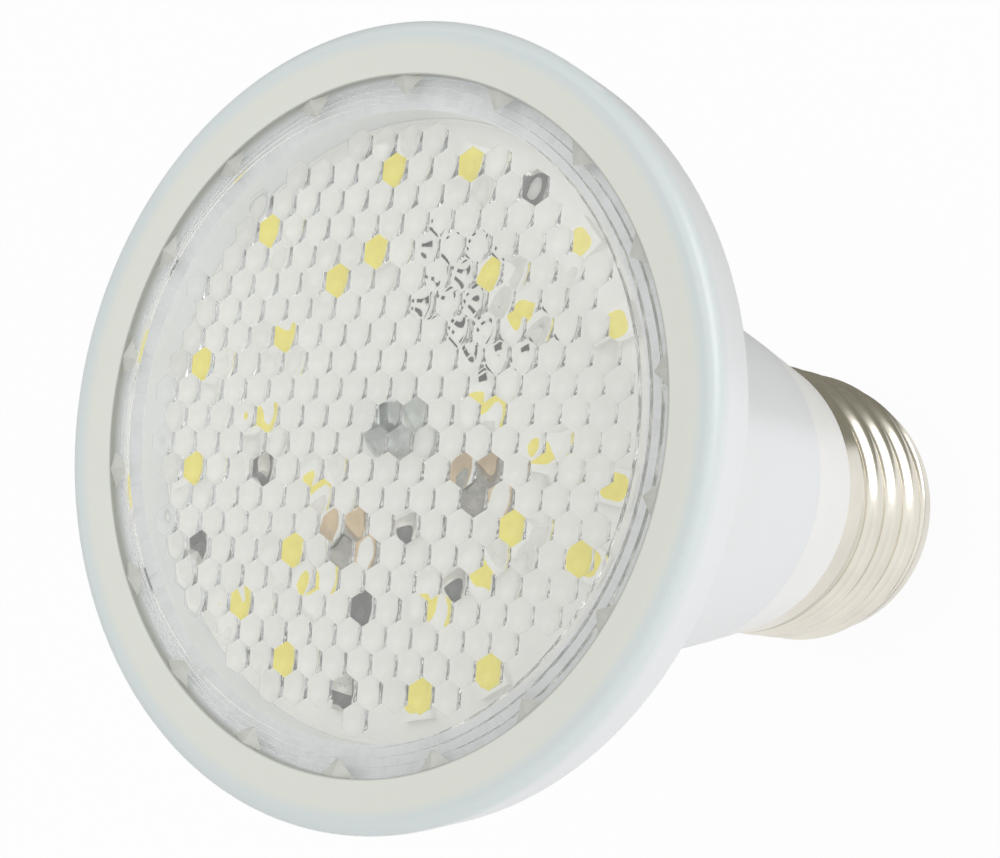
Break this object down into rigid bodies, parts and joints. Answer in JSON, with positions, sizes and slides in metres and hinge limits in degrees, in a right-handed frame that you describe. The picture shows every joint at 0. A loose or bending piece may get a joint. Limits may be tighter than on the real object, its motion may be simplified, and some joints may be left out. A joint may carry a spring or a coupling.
{
  "type": "grow light bulb",
  "caption": "Reflector lamp for growing plants: a white flared cup with a clear honeycomb lens over a board of LEDs, on a threaded metal screw base.",
  "frame": {"origin": "centre of the flat face at the tip of the centre contact", "axes": "+Z along the lamp axis from the tip of the base to the lens, the way the light goes; +X through one of the teeth around the lens"},
  "size_m": [0.0639, 0.064, 0.0804],
  "materials": {
    "contact_metal": "tinned, satin",
    "insulator_black": "gloss",
    "shell_nickel": "nickel plate, polished",
    "sleeve_white": "satin",
    "housing_white": "satin, slightly milky",
    "lens_clear": "clear, polished",
    "board_white": "satin solder mask",
    "led_white": "satin",
    "phosphor_yellow": "matte silicone",
    "chip_dark": "matte",
    "solder_grey": "bright, with tan flux around it",
    "screw_steel": "dark plated",
    "driver_green": "satin",
    "can_grey": "satin",
    "choke_dark": "matte ferrite",
    "film_yellow": "gloss",
    "resistor_blue": "matte coat",
    "lead_tinned": "tinned"
  },
  "bodies": {
    "root": {"centre_contact": "contact_metal", "base_insulator": "insulator_black", "screw_shell": "shell_nickel", "driver_sleeve": "sleeve_white", "housing": "housing_white", "lens": "lens_clear", "led_board": "board_white", "led_packages": "led_white", "led_phosphors": "phosphor_yellow", "chip_resistors": "chip_dark", "solder_joints": "solder_grey", "board_screw": "screw_steel", "driver_board": "driver_green", "smoothing_capacitor": "can_grey", "choke": "choke_dark", "input_capacitor": "film_yellow", "rectifier": "chip_dark", "fusible_resistor": "resistor_blue", "contact_leads": "lead_tinned", "shell_lead": "lead_tinned", "board_leads": "lead_tinned"}
  },
  "joints": []
}
